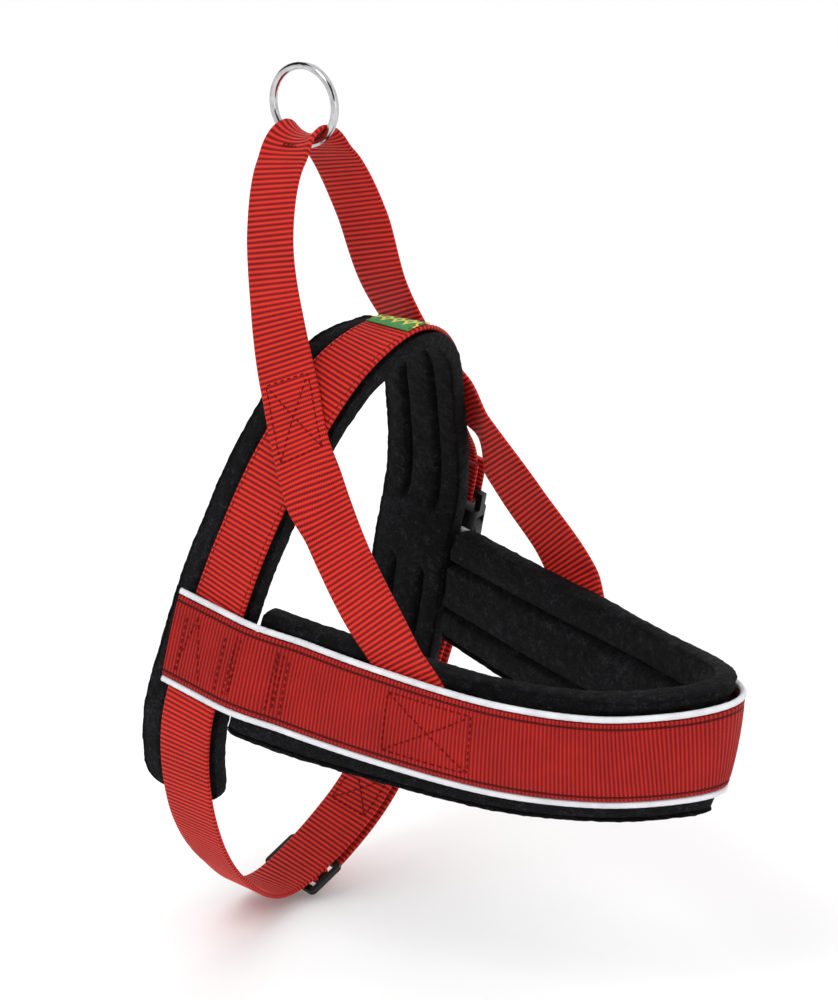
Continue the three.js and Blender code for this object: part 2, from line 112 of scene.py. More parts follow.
# Each station is x, y, z and the strap's turn about its own length in degrees.
GIRTH_LOOP = [
    (-69, 0, -250, -4),
    (-60, -42, -226, -8),
    (-54, -67, -192.5, -1),
    (-49, -76.4, -152.5, 1),
    (-39.5, -72.4, -112.5, 1),
    (-27.5, -66.5, -73.5, 1),
    (-17.5, -52, -37, 5),
    (-6, -30, -3.5, 5),
    (0, 0, BACK_STRAP_HEIGHT, -0.82),
]
CHEST_BAND = [
    (-56, -76.6, -112, -11),
    (-3.5, -69.7, -122.7, -5),
    (45, -61.7, -130, 1),
    (88, -51.3, -135, 6),
    (124, -36, -136.4, 10),
    (150.5, -18.2, -134, 10),
    (161, 0, -132.4, 8),
]
LEAD_LOOP = [
    (63, -55.6, -132, 10),
    (44.5, -61, -101.5, 7),
    (20, -58, -72, 6),
    (-2, -51.6, -42, 11),
    (-19.7, -42.8, -13.5, 11),
    (-33.3, -34.5, 14.3, 2),
    (-41, -29, 44.6, -6),
    (-46, -17, 70, -5),
    (-46.8, 0, 80, 0),
]
APEX = 8
CHEST_FRONT = 6


def smoothstep(x, low, high):
    t = np.clip((np.asarray(x, float) - low) / (high - low), 0, 1)
    return t * t * (3 - 2 * t)


def unit(vectors):
    return vectors / np.linalg.norm(vectors, axis=-1, keepdims=True)


class StrapRoute:
    """A smooth line, with the directions across the strap and out of the dog."""

    def __init__(self, stations, across, closed=False):
        left = [(x, -y, z, lean) for x, y, z, lean in reversed(stations[:-1])]
        rows = np.array(list(stations) + left, float)
        if closed:
            rows = rows[:-1]
            self.rows = np.vstack([rows[-1:], rows, rows[:2]])
            self.count = len(rows)
        else:
            before = 2 * rows[:1] - rows[1:2]
            after = 2 * rows[-1:] - rows[-2:-1]
            self.rows = np.vstack([before, rows, after, after])
            self.count = len(rows) - 1
        self.closed = closed
        self.reference = np.array(across, float)

    def frames(self, stations):
        """Point, along, across and out at each station, one row for each."""
        s = np.atleast_1d(np.asarray(stations, float))
        s = np.mod(s, self.count) if self.closed else np.clip(s, 0, self.count)
        i = np.minimum(np.floor(s).astype(int), self.count - 1)
        t = (s - i)[:, None]
        p0, p1, p2, p3 = (self.rows[i + k] for k in range(4))
        m1, m2 = (p2 - p0) / 2, (p3 - p1) / 2
        c2 = 3 * (p2 - p1) - 2 * m1 - m2
        c3 = 2 * (p1 - p2) + m1 + m2
        row = p1 + t * (m1 + t * (c2 + t * c3))
        slope = m1 + t * (2 * c2 + 3 * t * c3)
        along = unit(slope[:, :3])
        across = self.reference - along * (along @ self.reference)[:, None]
        across = unit(across)
        lean = np.radians(row[:, 3])[:, None]
        across = across * np.cos(lean) + np.cross(along, across) * np.sin(lean)
        return row[:, :3], along, across, np.cross(along, across)

    def lengths(self, first, last):
        """Stations between two, and the length in mm up to each."""
        stations = np.linspace(first, last, 1200)
        points = self.frames(stations)[0]
        steps = np.linalg.norm(np.diff(points, axis=0), axis=1)
        return stations, np.concatenate([[0], np.cumsum(steps)])

    def even_stations(self, first, last, spacing):
        """Stations a spacing in mm apart, and the length up to each."""
        stations, lengths = self.lengths(first, last)
        count = max(3, int(round(lengths[-1] / spacing)) + 1)
        wanted = np.linspace(0, lengths[-1], count)
        return np.interp(wanted, lengths, stations), wanted


girth_route = StrapRoute(GIRTH_LOOP, (-1, 0, 0), closed=True)
chest_route = StrapRoute(CHEST_BAND, (0, 0, 1))
lead_route = StrapRoute(LEAD_LOOP, (-1, 0, 0))


def place_on(route, first, last, points):
    """Station, sideways and outwards of points against a strap, and its out."""
    coarse = np.arange(first, last, 0.05)
    centre, along = route.frames(coarse)[:2]
    away = points @ along.T - (centre * along).sum(1)
    nearest = np.abs(away).argmin(1)
    pace = np.linalg.norm(np.diff(centre, axis=0), axis=1).mean() / 0.05
    station = coarse[nearest] + away[np.arange(len(points)), nearest] / pace
    station = np.clip(station, first, last)
    centre, _, across, out = route.frames(station)
    delta = points - centre
    return station, (delta * across).sum(1), (delta * out).sum(1), out


def lay_on(route, first, last, half_width, level=SEWN_LAYER, margin=14, rests=False,
           rise=None):
    """Lays points of a strap flat on another strap, as the CAD model does."""
    def lay(points, height):
        station, sideways, outwards, out = place_on(route, first, last, points)
        share = 1 - smoothstep(np.abs(sideways) - half_width, 0, margin)
        needed = level + height - outwards
        if rise is not None:
            needed = needed + rise(station)
        if rests:
            needed = np.maximum(0, needed)
        return points + out * (needed * share)[:, None]
    return lay


def by_side(right, left):
    """Uses one rule for points on the dog's right, and another on its left."""
    def lay(points, height):
        on_right = points[:, 1] < 0
        moved = points.copy()
        moved[on_right] = right(points[on_right], height[on_right])
        moved[~on_right] = left(points[~on_right], height[~on_right])
        return moved
    return lay


# ---- meshes ----

def make_object(name, points, faces, lay_values=None):
    """A smooth mesh object from points in mm."""
    mesh = bpy.data.meshes.new(name)
    mesh.from_pydata([tuple(p) for p in np.asarray(points) * MM], [], faces)
    mesh.update()
    if lay_values is not None:
        attribute = mesh.attributes.new("lay", "FLOAT_VECTOR", "POINT")
        attribute.data.foreach_set("vector", np.asarray(lay_values, np.float32).ravel())
    mesh.polygons.foreach_set("use_smooth", [True] * len(mesh.polygons))
    piece = bpy.data.objects.new(name, mesh)
    bpy.context.scene.collection.objects.link(piece)
    return piece


def tube_faces(rows, columns):
    """Quads of a closed tube of rows of points, with a cap at each end."""
    faces = []
    for r in range(rows - 1):
        for c in range(columns):
            d = (c + 1) % columns
            faces.append((r * columns + c, r * columns + d,
                          (r + 1) * columns + d, (r + 1) * columns + c))
    faces.append(tuple(reversed(range(columns))))
    faces.append(tuple((rows - 1) * columns + c for c in range(columns)))
    return faces


RIB = 2.1                       # the straps' ribs lie this far apart along them
BAND_RIB = 1.6
RIB_DEPTH = 0.22
RIB_ROWS = 4                    # rows of points to each rib


def web_outline(width, thickness, columns=12):
    """The section of webbing: nearly flat faces and rounded, beaded edges."""
    half = width / 2 - thickness / 2
    flat = np.linspace(-half, half, columns)
    bead = 0.06 * np.exp(-((np.abs(flat) - half + 0.6) / 0.8) ** 2)
    top = np.column_stack([flat, thickness / 2 * (0.94 + bead)])
    turn = np.linspace(math.pi / 2, -math.pi / 2, 7)[1:-1]
    right = np.column_stack([half + thickness / 2 * np.cos(turn), thickness / 2 * np.sin(turn)])
    bottom = top[::-1] * (1, -1)
    left = -right
    return np.vstack([top, right, bottom, left])[::-1]


def cup(sideways, height, curvature):
    """Cups a flat section across its width, as the CAD model does."""
    bend = np.maximum(curvature, 1e-6)
    angle = sideways * bend
    curved = (1 / bend - height) * np.sin(angle)
    lifted = (1 / bend - height) * (1 - np.cos(angle))
    return np.where(curvature > 1e-6, curved, sideways), np.where(curvature > 1e-6, lifted, 0)


def carried(frames, sideways, outwards):
    """Points given by sideways and outwards in frames, as rows x columns x 3."""
    centre, _, across, out = frames
    return (centre[:, None] + across[:, None] * sideways[..., None]
            + out[:, None] * outwards[..., None])


def ribbon(name, frames, lengths, width=WEB_WIDTH, thickness=WEB_THICKNESS, rise=0,
           curvature=0, lay=None, rib=RIB, relief=None, columns=12):
    """Webbing along frames: a closed mesh with its ribs across it."""
    outline = web_outline(width, thickness, columns)
    rows, columns = len(lengths), len(outline)
    height = np.broadcast_to(outline[None, :, 1], (rows, columns))
    sideways = np.broadcast_to(outline[None, :, 0], (rows, columns))
    if rib:
        wave = np.cos(2 * math.pi * lengths / rib)[:, None]
        within = 1 - smoothstep(np.abs(sideways), width / 2 - 1.6, width / 2 - 0.8)
        height = height * (1 + wave * within * RIB_DEPTH / thickness)
    if relief is not None:
        height = height + relief(sideways)
    curvature = np.broadcast_to(np.asarray(curvature, float).reshape(-1, 1), (rows, columns))
    moved, lifted = cup(sideways, height, curvature)
    outwards = height + lifted + np.broadcast_to(np.asarray(rise, float).reshape(-1, 1), (rows, 1))
    points = carried(frames, moved, outwards).reshape(-1, 3)
    if lay is not None:
        points = lay(points, height.ravel())
    along = np.broadcast_to(lengths[:, None] / (rib or 1), (rows, columns))
    values = np.stack([sideways, along, height], -1).reshape(-1, 3)
    return make_object(name, points, tube_faces(rows, columns), values)


def strap(name, route, first, last, rise=None, curvature=None, rib=RIB, **options):
    """Webbing along a route between two stations."""
    stations, lengths = route.even_stations(first, last, rib / RIB_ROWS)
    return ribbon(
        name, route.frames(stations), lengths, rib=rib,
        rise=0 if rise is None else rise(stations),
        curvature=0 if curvature is None else curvature(stations),
        **options)


# ---- material helpers ----

class Shading:
    """A material with a Principled shader, and short ways to add nodes to it."""

    def __init__(self, name, roughness=0.6, metallic=0.0):
        self.material = bpy.data.materials.new(name)
        self.material.use_nodes = True
        self.tree = self.material.node_tree
        self.shader = self.tree.nodes["Principled BSDF"]
        self.shader.inputs["Roughness"].default_value = roughness
        self.shader.inputs["Metallic"].default_value = metallic

    def node(self, kind, **settings):
        node = self.tree.nodes.new(kind)
        for key, value in settings.items():
            setattr(node, key, value)
        return node

    def link(self, source, target):
        self.tree.links.new(source, target)

    def math(self, operation, a, b=None):
        node = self.node("ShaderNodeMath", operation=operation)
        for value, socket in zip((a, b), node.inputs):
            if value is None:
                continue
            if isinstance(value, (int, float)):
                socket.default_value = value
            else:
                self.link(value, socket)
        return node.outputs[0]

    def wave(self, value, length, phase=0.0):
        """0 to 1, as a wave of that length in the value's own unit."""
        turned = self.math("MULTIPLY", value, 2 * math.pi / length)
        sine = self.math("SINE", self.math("ADD", turned, phase))
        return self.math("MULTIPLY", self.math("ADD", sine, 1.0), 0.5)

    def noise(self, scale, detail=3.0, roughness=0.6):
        place = self.node("ShaderNodeTexCoord").outputs["Object"]
        node = self.node("ShaderNodeTexNoise")
        self.link(place, node.inputs["Vector"])
        node.inputs["Scale"].default_value = scale
        node.inputs["Detail"].default_value = detail
        node.inputs["Roughness"].default_value = roughness
        return node.outputs["Fac"]

    def lay_values(self):
        """Across, along and height on a strap, in mm."""
        place = self.node("ShaderNodeAttribute", attribute_name="lay")
        parts = self.node("ShaderNodeSeparateXYZ")
        self.link(place.outputs["Vector"], parts.inputs[0])
        return parts.outputs[0], parts.outputs[1], parts.outputs[2]

    def ramp(self, value, stops):
        """A colour for each value, from (position, colour) stops."""
        node = self.node("ShaderNodeValToRGB")
        elements = node.color_ramp.elements
        while len(elements) < len(stops):
            elements.new(0.5)
        for element, (position, color) in zip(elements, stops):
            element.position = position
            element.color = (*color, 1)
        self.link(value, node.inputs[0])
        return node.outputs[0]

    def mix(self, factor, a, b):
        node = self.node("ShaderNodeMix", data_type="RGBA")
        self.link(factor, node.inputs[0])
        for value, socket in ((a, node.inputs[6]), (b, node.inputs[7])):
            if isinstance(value, tuple):
                socket.default_value = (*value, 1)
            else:
                self.link(value, socket)
        return node.outputs[2]

    def color(self, value):
        self.link(value, self.shader.inputs["Base Color"])

    def rough(self, value, low, high):
        node = self.node("ShaderNodeMapRange")
        node.inputs["To Min"].default_value = low
        node.inputs["To Max"].default_value = high
        self.link(value, node.inputs["Value"])
        self.link(node.outputs[0], self.shader.inputs["Roughness"])

    def bump(self, height, distance, strength=1.0):
        node = self.node("ShaderNodeBump")
        node.inputs["Strength"].default_value = strength
        node.inputs["Distance"].default_value = distance
        self.link(height, node.inputs["Height"])
        self.link(node.outputs[0], self.shader.inputs["Normal"])

    def specular(self, level):
        self.shader.inputs["Specular IOR Level"].default_value = level

    def sheen(self, weight, roughness, tint):
        self.shader.inputs["Sheen Weight"].default_value = weight
        self.shader.inputs["Sheen Roughness"].default_value = roughness
        self.shader.inputs["Sheen Tint"].default_value = (*tint, 1)


def webbing_material(name="red_webbing", rib_shade_strength=0.72, shaded_groove=None):
    """Red nylon webbing: ribs across it, and fine warp threads along it. Its colour is darker
    between the ribs as painted shade, and for the band a line of painted shade runs along its edge
    stitching.
    """
    look = Shading(name, roughness=0.6)
    across, ribs_along, _ = look.lay_values()
    # Painted shade between the ribs: the colour follows the ribs' height, bright on their crests
    # and dark in their troughs.
    ribs = look.wave(ribs_along, 1.0, math.pi / 2)
    twill = look.wave(look.math("ADD", ribs_along, look.math("MULTIPLY", across, 0.9)), 1.0)
    warp = look.wave(across, 0.8)
    fibre = look.noise(2600, 4)
    patch = look.noise(60, 3)
    weave_and_rib_shade = look.math("ADD", look.math("MULTIPLY", ribs, rib_shade_strength),
                      look.math("MULTIPLY", warp, 0.14))
    weave_and_rib_shade = look.math("ADD", weave_and_rib_shade, look.math("MULTIPLY", twill, 0.12))
    weave_and_rib_shade = look.math("ADD", weave_and_rib_shade, look.math("MULTIPLY", fibre, 0.24))
    tone = look.math("ADD", look.math("MULTIPLY", weave_and_rib_shade, 0.78), look.math("MULTIPLY", patch, 0.2))
    # Painted shade: a dark line in the colour along the band's stitched groove, where the relief
    # sinks it.
    if shaded_groove:
        away = look.math("SUBTRACT", look.math("ABSOLUTE", across), shaded_groove)
        near = look.math("LESS_THAN", look.math("ABSOLUTE", away), 0.55)
        tone = look.math("SUBTRACT", tone, look.math("MULTIPLY", near, 0.4))
    look.color(look.ramp(tone, [
        (0.2, (0.05, 0.001, 0.001)),
        (0.48, (0.32, 0.004, 0.003)),
        (0.82, (0.64, 0.024, 0.012)),
    ]))
    look.rough(weave_and_rib_shade, 0.8, 0.5)
    look.bump(weave_and_rib_shade, 0.0005, 0.7)
    look.sheen(0.04, 0.4, (1.0, 0.35, 0.3))
    look.specular(0.2)
    return look.material


def fleece_material():
    """Charcoal fleece: matted pile with paler tips."""
    look = Shading("charcoal_fleece", roughness=0.95)
    pile = look.noise(950, 6, 0.75)
    tufts = look.noise(230, 4, 0.6)
    patch = look.noise(30, 2)
    tone = look.math("ADD", look.math("MULTIPLY", pile, 0.6), look.math("MULTIPLY", tufts, 0.3))
    tone = look.math("ADD", tone, look.math("MULTIPLY", patch, 0.1))
    look.color(look.ramp(tone, [
        (0.4, (0.0008, 0.0008, 0.001)),
        (0.52, (0.004, 0.004, 0.005)),
        (0.66, (0.034, 0.034, 0.04)),
    ]))
    look.bump(tone, 0.0022, 1.0)
    look.sheen(0.015, 0.5, (0.5, 0.5, 0.55))
    look.specular(0.15)
    return look.material


def piping_material():
    """Pale reflective cord, finely braided."""
    look = Shading("pale_piping", roughness=0.4)
    across, along, height = look.lay_values()
    braid = look.math("MULTIPLY", look.wave(look.math("ADD", along, height), 0.9),
                      look.wave(look.math("SUBTRACT", along, height), 0.9))
    grime = look.noise(120, 4)
    tone = look.math("ADD", look.math("MULTIPLY", braid, 0.4), look.math("MULTIPLY", grime, 0.6))
    look.color(look.ramp(tone, [(0.15, (0.5, 0.51, 0.55)), (0.6, (0.88, 0.89, 0.92))]))
    look.rough(tone, 0.6, 0.35)
    look.bump(braid, 0.0003, 0.6)
    return look.material


def chrome_material():
    """Polished plating with a few fine rubs."""
    look = Shading("polished_ring", roughness=0.12, metallic=1.0)
    rubs = look.noise(400, 5, 0.7)
    look.color(look.ramp(rubs, [(0.3, (0.4, 0.4, 0.41)), (0.7, (0.6, 0.6, 0.61))]))
    look.rough(rubs, 0.05, 0.2)
    look.bump(rubs, 0.00003, 0.4)
    return look.material


def plastic_material():
    """Black moulded plastic with a fine grain."""
    look = Shading("black_plastic", roughness=0.42)
    grain = look.noise(3200, 3)
    patch = look.noise(60, 3)
    tone = look.math("ADD", look.math("MULTIPLY", grain, 0.5), look.math("MULTIPLY", patch, 0.5))
    look.color(look.ramp(tone, [(0.3, (0.003, 0.003, 0.0035)), (0.7, (0.009, 0.009, 0.0095))]))
    look.specular(0.3)
    look.rough(tone, 0.34, 0.55)
    look.bump(grain, 0.0001, 0.5)
    return look.material


def label_material():
    """A woven label: green, with a plain pale lozenge band and borders."""
    look = Shading("woven_label", roughness=0.75)
    across, along, _ = look.lay_values()
    threads = look.math("MULTIPLY", look.wave(across, 0.5), look.wave(along, 0.5))
    steps = look.math("ABSOLUTE", look.math("SINE", look.math("MULTIPLY", across, 0.55)))
    away = look.math("ABSOLUTE", look.math("SUBTRACT", along, LABEL_LENGTH / 2))
    lozenge = look.math("ADD", steps, look.math("MULTIPLY", away, 0.22))
    inside = look.math("LESS_THAN", lozenge, 1.1)
    core = look.math("LESS_THAN", lozenge, 0.5)
    green = look.ramp(threads, [(0.0, (0.03, 0.16, 0.04)), (0.8, (0.08, 0.42, 0.1))])
    yellow = look.ramp(threads, [(0.0, (0.6, 0.5, 0.03)), (0.8, (0.95, 0.85, 0.15))])
    base = look.mix(inside, green, yellow)
    look.color(look.mix(core, base, (0.03, 0.2, 0.05)))
    look.bump(threads, 0.0002, 0.7)
    return look.material


def thread_material():
    """Dark red sewing thread: partly its own darker red, partly painted shade of the stitches sunk
    into the webbing.
    """
    look = Shading("red_thread", roughness=0.7)
    tone = look.noise(1800, 3)
    # This dark red holds painted shade of the sunk stitches as well as the thread's own colour.
    look.color(look.ramp(tone, [(0.3, (0.05, 0.001, 0.001)), (0.7, (0.22, 0.006, 0.005))]))
    look.bump(tone, 0.0001, 0.6)
    look.specular(0.1)
    return look.material


GROOVE = 15.2                    # the band's edge stitching, from its middle
MATERIALS = {
    "webbing": webbing_material(),
    "fleece": fleece_material(),
    "piping": piping_material(),
    "ring_metal": chrome_material(),
    "plastic": plastic_material(),
    "label": label_material(),
}
# The band has weaker painted shade between its ribs, and a line of painted shade along its edge
# stitching.
BAND_WEBBING = webbing_material("red_band_webbing", rib_shade_strength=0.4, shaded_groove=GROOVE)
RED_THREAD = thread_material()


def finish_piece(piece, slot, replaces=(), material=None):
    """Gives a piece its material, from its slot unless one is given, and hides the CAD parts that
    it replaces.
    """
    piece.data.materials.append(material or MATERIALS[slot])
    if replaces:
        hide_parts(*replaces)
    return piece


# ---- camera ----

def aim(thing, place, target):
    """Places something so that it looks at a target, with its top upwards."""
    thing.location = place
    thing.rotation_euler = (Vector(target) - Vector(place)).to_track_quat("-Z", "Y").to_euler()


CAMERA_TARGET = Vector((11.1, 0, -61.5)) * MM
CAMERA_AZIMUTH = math.radians(37.56)
CAMERA_ELEVATION = math.radians(17.48)
CAMERA_DISTANCE = 1.5


def place_camera():
    back = Vector((
        math.sin(CAMERA_AZIMUTH) * math.cos(CAMERA_ELEVATION),
        -math.cos(CAMERA_AZIMUTH) * math.cos(CAMERA_ELEVATION),
        math.sin(CAMERA_ELEVATION),
    ))
    data = bpy.data.cameras.new("camera")
    data.sensor_width = 36
    data.lens = 134.2
    camera = bpy.data.objects.new("camera", data)
    bpy.context.scene.collection.objects.link(camera)
    aim(camera, CAMERA_TARGET + back * CAMERA_DISTANCE, CAMERA_TARGET)
    bpy.context.scene.camera = camera


place_camera()

# ---- straps ----


def rise_to_buckle(station):
    """Towards the buckle the back strap comes out to the buckle's bar."""
    return (BUCKLE_OFFSET - FOLD_OFFSET) * smoothstep(station, 10.1, BACK_STRAP_END)


def cup_at_ring(station):
    """Round the ring the webbing cups itself to the wire."""
    radius = RING_OUTER / 2 - RING_WIRE - GAP - WEB_THICKNESS / 2
    away = np.minimum(1, np.abs(station - APEX) / 0.9)
    return (1 - away * away) ** 2 / radius


lay_band = by_side(
    lay_on(girth_route, 2.8, 5.2, WEB_WIDTH / 2, margin=30),
    lay_on(girth_route, 10.8, 13.2, WEB_WIDTH / 2, margin=30),
)
UNDER_BAND = -SEWN_LAYER - GAP / 2
lay_seam = by_side(
    lay_on(chest_route, 1, 4, BAND_EDGE, level=UNDER_BAND),
    lay_on(chest_route, 8, 11, BAND_EDGE, level=UNDER_BAND),
)
lay_crossing = by_side(
    lay_on(girth_route, 5, 7.6, WEB_WIDTH / 2, rests=True),
    lay_on(girth_route, 8.4, 11, WEB_WIDTH / 2, level=SEWN_LAYER + 2 * GAP, rests=True,
           rise=rise_to_buckle),
)


def lay_lead_strap(points, height):
    """The lead strap follows the band's inner side low down, and crosses the back strap."""
    low = points[:, 2] < SEAM_HEIGHT
    moved = points.copy()
    moved[low] = lay_seam(points[low], height[low])
    crossing = ~low & (points[:, 2] < 0)
    moved[crossing] = lay_crossing(points[crossing], height[crossing])
    return moved


def band_relief(sideways):
    """The band is crowned by its padding, and drawn in along its edge stitching."""
    reach = np.abs(sideways) / (BAND_WIDTH / 2)
    stitched = np.exp(-((np.abs(sideways) - GROOVE) / 0.5) ** 2)
    return 0.9 * (1 - reach ** 2) - 0.45 * stitched


def make_straps():
    band = strap("chest_band", chest_route, 0, 2 * CHEST_FRONT, lay=lay_band, width=BAND_WIDTH,
                 rib=BAND_RIB, relief=band_relief, columns=64)
    finish_piece(band, "webbing", ["chest_webbing"], material=BAND_WEBBING)
    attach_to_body(band, "harness")

    back = strap("back_strap", girth_route, SEWN_JOIN, BACK_STRAP_END, rise=rise_to_buckle)
    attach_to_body(finish_piece(back, "webbing", ["back_webbing"]), "harness")

    # One strap from under the band, over the crossing and round the ring.
    lead = strap("lead_strap", lead_route, 0.25, 2 * APEX - 0.25,
                 curvature=cup_at_ring, lay=lay_lead_strap)
    finish_piece(lead, "webbing", ["lead_strap_right", "lead_strap_left", "lead_loop_root_right",
                                   "lead_loop_root_left", "lead_loop"])
    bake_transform(lead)


def out_to_buckle(station):
    wrapped = np.where(station < 8, station + 16, station)
    return np.where(wrapped > 20, 0, 1 - smoothstep(wrapped, GIRTH_END, 13.9))


def girth_rise(station):
    return (BUCKLE_OFFSET - FOLD_OFFSET) * out_to_buckle(station)


def return_rise(station):
    share = out_to_buckle(station)
    return RETURN_REST + (BUCKLE_OFFSET + FOLD_OFFSET - RETURN_REST) * share


RETURN_SPLIT = 14.7


def make_girth_strap():
    girth = strap("girth_strap", girth_route, GIRTH_END, 16 + SEWN_JOIN - 0.02, rise=girth_rise)
    finish_piece(girth, "webbing", ["girth_webbing"])
    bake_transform(girth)

    upper = strap("girth_return_upper", girth_route, GIRTH_END, RETURN_SPLIT, rise=return_rise)
    finish_piece(upper, "webbing", ["girth_return_layer"])
    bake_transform(upper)

    lower = strap("girth_return_lower", girth_route, RETURN_SPLIT, ADJUSTER_STATION - 0.16,
                  rise=return_rise)
    finish_piece(lower, "webbing", ["girth_return_layer"])
    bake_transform(lower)


# ---- webbing round the bars of the buckle and the adjuster ----


def strap_frame(station, offset):
    """Origin, across, out and along of a piece of hardware on the girth strap."""
    centre, along, across, out = (value[0] for value in girth_route.frames(station))
    return centre + out * offset, across, out, along


def bent_ribbon(name, hardware, path, **options):
    """Webbing along a path of (out, along) points in a piece of hardware's frame."""
    origin, across, out, along = hardware
    path = np.asarray(path, float)
    steps = np.linalg.norm(np.diff(path, axis=0), axis=1)
    reached = np.concatenate([[0], np.cumsum(steps)])
    wanted = np.linspace(0, reached[-1], int(reached[-1] / RIB * RIB_ROWS))
    path = np.column_stack([np.interp(wanted, reached, path[:, k]) for k in (0, 1)])
    slope = unit(np.gradient(path, axis=0))
    centre = origin + path[:, :1] * out + path[:, 1:] * along
    tangent = slope[:, :1] * out + slope[:, 1:] * along
    sideways = np.broadcast_to(across, tangent.shape)
    frames = centre, tangent, sideways, np.cross(tangent, sideways)
    return ribbon(name, frames, wanted, **options)


def turn_points(radius, middle, first, last, count=14):
    angles = np.linspace(math.radians(first), math.radians(last), count)
    return [(middle[0] + radius * math.sin(a), middle[1] + radius * math.cos(a)) for a in angles]


def fold_path(bar, facing):
    """Both layers and the turn of a strap folded round a bar."""
    turn = (0.0, bar + facing * BAR / 3)
    end = bar - facing * FOLD_LENGTH
    if facing > 0:
        arc = turn_points(FOLD_OFFSET, turn, 90, -90)
    else:
        arc = turn_points(FOLD_OFFSET, turn, 90, 270)
    return [(FOLD_OFFSET, end), *arc, (-FOLD_OFFSET, end)]


def make_folds():
    buckle = strap_frame(BUCKLE_STATION, BUCKLE_OFFSET)
    female = bent_ribbon("back_strap_turn", buckle, fold_path(FEMALE_BAR, 1))
    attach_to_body(finish_piece(female, "webbing", ["back_strap_fold"]), "harness")
    male = bent_ribbon("girth_strap_turn", buckle, fold_path(MALE_BAR, -1))
    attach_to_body(finish_piece(male, "webbing", ["girth_strap_fold"]), "buckle_tongue")

    adjuster = strap_frame(ADJUSTER_STATION, ADJUSTER_OFFSET)
    lift = ADJUSTER_THICKNESS / 4
    foot = -ADJUSTER_THICKNESS / 2
    over_bar = [(lift + y, x) for x, y in turn_points(FOLD_OFFSET, (0, 0), -90, 90)]
    path = [(foot, -FOLD_OFFSET), *over_bar, (foot, FOLD_OFFSET)]
    hump = bent_ribbon("adjuster_turn", adjuster, path)
    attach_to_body(finish_piece(hump, "webbing", ["adjuster_webbing"]), "adjuster")


# ---- piping ----


def make_piping():
    turn = np.linspace(0, 2 * math.pi, 12, endpoint=False)
    for name, side in (("piping_upper", 1), ("piping_lower", -1)):
        middle = side * (BAND_WIDTH / 2 + GAP + PIPING_WIDTH / 2)
        stations, lengths = chest_route.even_stations(0, 2 * CHEST_FRONT, 1.2)
        radius = PIPING_WIDTH / 2 * (1 + 0.03 * np.cos(2 * math.pi * lengths / 3.6))[:, None]
        sideways = middle + radius * np.cos(turn)
        height = radius * np.sin(turn)
        points = carried(chest_route.frames(stations), sideways, height).reshape(-1, 3)
        points = lay_band(points, height.ravel())
        along = np.broadcast_to(lengths[:, None], height.shape)
        round_cord = np.broadcast_to(turn * PIPING_WIDTH / 2, height.shape)
        values = np.stack([height, along, round_cord], -1).reshape(-1, 3)
        piece = make_object(name, points, tube_faces(len(lengths), len(turn)), values)
        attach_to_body(finish_piece(piece, "piping", [f"chest_{name}"]), "harness")


# ---- pads ----


PAD_COLUMNS = 36                # points across each face of a pad
PAD_ROW = 3.2                   # mm between its rows of points
PAD_SWELL = 1.3                 # the simulation may move a point this far
CHANNEL_DEPTH = 3.6             # the sewn channels of its lining


def pad_outline(width, thickness, seam):
    """A flat oval section, with points close together along its sewn channels."""
    reach = width / 2
    even = np.linspace(-1, 1, PAD_COLUMNS - 14)
    near = np.array([-2.4, -1.4, -0.7, 0, 0.7, 1.4, 2.4])
    inner = np.sort(np.concatenate([even * 0.93 * reach, seam + near, -seam + near]))
    edge = reach * (0.93 + 0.07 * np.sin(np.linspace(0.25, math.pi - 0.25, 5)))
    side = thickness / 2 * np.cos(np.linspace(0.25, math.pi - 0.25, 5))
    outer = np.linspace(0.93, -0.93, PAD_COLUMNS) * reach
    swell = (1 - (np.abs(inner) / reach) ** 6) ** 0.5 * thickness / 2
    flat = (1 - (np.abs(outer) / reach) ** 6) ** 0.5 * thickness / 2
    sideways = np.concatenate([inner, edge, outer, -edge[::-1]])
    outwards = np.concatenate([-swell, -side, flat, -side[::-1] * -1])
    return sideways, outwards


def end_share(lengths, radius):
    """Width of a pad at each row, as a share, to round its two ends."""
    nearest = np.minimum(lengths, lengths[-1] - lengths)
    inside = np.clip(1 - nearest / radius, 0, 1)
    return np.sqrt(np.maximum(1 - inside ** 2.6, 0.02))


def inflate(piece, free, steps=20):
    """Fills a pad by a cloth simulation, and applies it. free is each point's share."""
    group = piece.vertex_groups.new(name="held")
    for index, share in enumerate(free):
        group.add([index], float(1 - share), "REPLACE")
    modifier = piece.modifiers.new("cloth", "CLOTH")
    settings = modifier.settings
    settings.quality = 6
    settings.mass = 0.1
    settings.use_pressure = True
    settings.uniform_pressure_force = 4
    settings.tension_stiffness = 20
    settings.compression_stiffness = 20
    settings.bending_stiffness = 0.4
    settings.effector_weights.gravity = 0
    settings.vertex_group_mass = "held"
    modifier.collision_settings.use_collision = False
    scene = bpy.context.scene
    for step in range(1, steps + 1):
        scene.frame_set(step)
    bpy.context.view_layer.update()
    evaluated = piece.evaluated_get(bpy.context.evaluated_depsgraph_get())
    after = np.array([vertex.co for vertex in evaluated.data.vertices])
    before = np.array([vertex.co for vertex in piece.data.vertices])
    piece.modifiers.remove(modifier)
    piece.vertex_groups.clear()
    scene.frame_set(1)
    moved = after - before
    far = np.linalg.norm(moved, axis=1, keepdims=True)
    cap = PAD_SWELL * MM
    moved *= cap / np.maximum(far, cap)
    piece.data.vertices.foreach_set("co", (before + moved).astype(np.float32).ravel())
    piece.data.update()


END_ROW = 0.7                   # mm from a butted end to the row that squares it
BUTT_PRESS = 3.0                # its ends press this far into the back pad's edge


